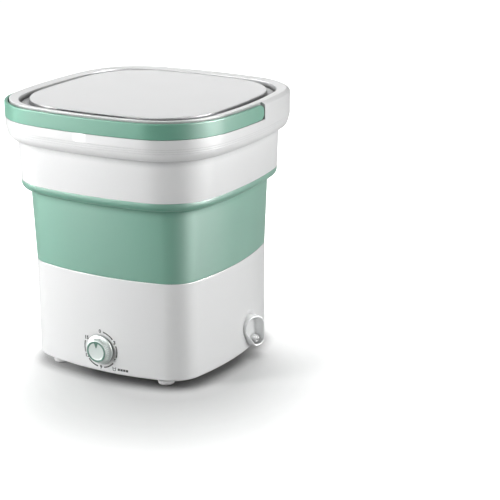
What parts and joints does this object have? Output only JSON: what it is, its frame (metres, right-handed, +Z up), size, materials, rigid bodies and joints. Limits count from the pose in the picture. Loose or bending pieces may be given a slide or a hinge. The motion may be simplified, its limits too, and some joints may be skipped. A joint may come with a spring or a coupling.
{
  "type": "portable mini washer",
  "caption": "Square folding countertop washer with a soft collapsing wall, lift-off lid, swing-up carrying handle, timer knob and drain outlet.",
  "frame": {"origin": "on the floor, under the centre of the washer's square plan", "axes": "+Z up, -Y towards the side with the timer knob, +X towards the side with the drain outlet"},
  "size_m": [0.344, 0.344, 0.3737],
  "materials": {
    "white_gloss": "glossy injection-moulded shell",
    "lid_milky": "glossy, slightly translucent moulding",
    "mint_soft": "soft satin thermoplastic rubber",
    "mint_gloss": "satin coloured plastic",
    "clear_silicone": "translucent silicone",
    "frosted": "frosted translucent plastic",
    "knob_white": "satin",
    "white_matte": "fine moulded grain",
    "foot_white": "satin",
    "black_rubber": "dull",
    "nylon": "natural nylon",
    "black_plastic": "fine grain",
    "steel": "plated steel",
    "bronze": "sintered bronze",
    "magnet": "ferrite",
    "black_wire": "smooth insulation",
    "red_wire": "smooth insulation"
  },
  "bodies": {
    "base": {"base_shell": "white_gloss", "bottom_cover": "white_matte", "cover_screws": "steel", "feet": "foot_white", "foot_pads": "black_rubber", "folding_wall": "mint_soft", "gearbox_case": "nylon", "gearbox_cover": "nylon", "gearbox_screws": "steel", "shaft_bearings": "bronze", "shaft_seal": "black_rubber", "idler_pin": "steel", "motor_can": "steel", "motor_end_cap": "black_plastic", "motor_magnets": "magnet", "motor_screws": "steel", "drain_strainer": "white_matte", "drain_hose": "black_rubber", "hose_clamps": "steel", "drain_outlet": "frosted", "outlet_nut": "white_matte", "timer_body": "black_plastic", "timer_screws": "steel", "power_socket": "black_plastic", "socket_nut": "black_plastic", "power_leads": "black_wire", "motor_leads": "red_wire"},
    "tub": {"upper_tub": "white_gloss", "collar": "white_gloss", "handle_pins": "steel"},
    "lid": {"lid_panel": "lid_milky", "lid_seal": "clear_silicone"},
    "handle": {"handle": "mint_gloss"},
    "knob": {"knob": "knob_white", "knob_trim": "mint_gloss", "timer_shaft": "steel"},
    "impeller": {"impeller": "white_matte", "impeller_screw": "steel", "impeller_cap": "white_matte", "impeller_shaft": "steel", "output_gear": "nylon"},
    "idler": {"idler_gear": "nylon"},
    "motor_rotor": {"motor_rotor": "steel", "motor_pinion": "bronze"},
    "drain_plug": {"drain_plug": "clear_silicone"}
  },
  "joints": [
    {"name": "fold", "type": "slide", "parent": "base", "child": "tub", "axis": [0, 0, -1], "range_m": [0, 0.186], "deforming": ["folding_wall"]},
    {"name": "lid_lift", "type": "slide", "parent": "tub", "child": "lid", "axis": [0, 0, 1], "range_m": [0, 0.08]},
    {"name": "handle_swing", "type": "hinge", "parent": "tub", "child": "handle", "pos_m": [0, 0, 0.36085], "axis": [-1, 0, 0], "range_deg": [0, 95]},
    {"name": "timer_turn", "type": "hinge", "parent": "base", "child": "knob", "pos_m": [0, -0.1385, 0.044], "axis": [0, 1, 0], "range_deg": [0, 300]},
    {"name": "impeller_spin", "type": "hinge", "parent": "base", "child": "impeller", "pos_m": [0, 0, 0.08], "axis": [0, 0, 1], "continuous": true},
    {"name": "idler_spin", "type": "hinge", "parent": "base", "child": "idler", "pos_m": [-0.03, 0, 0.065], "axis": [0, 0, 1], "continuous": true},
    {"name": "motor_spin", "type": "hinge", "parent": "base", "child": "motor_rotor", "pos_m": [-0.045, 0.02598, 0.065], "axis": [0, 0, 1], "continuous": true},
    {"name": "plug_pull", "type": "slide", "parent": "base", "child": "drain_plug", "axis": [1, 0, 0], "range_m": [0, 0.03]}
  ],
  "couplings": [
    {"joint": "idler_spin", "follows": "impeller_spin", "ratio": -3},
    {"joint": "motor_spin", "follows": "impeller_spin", "ratio": 9}
  ]
}
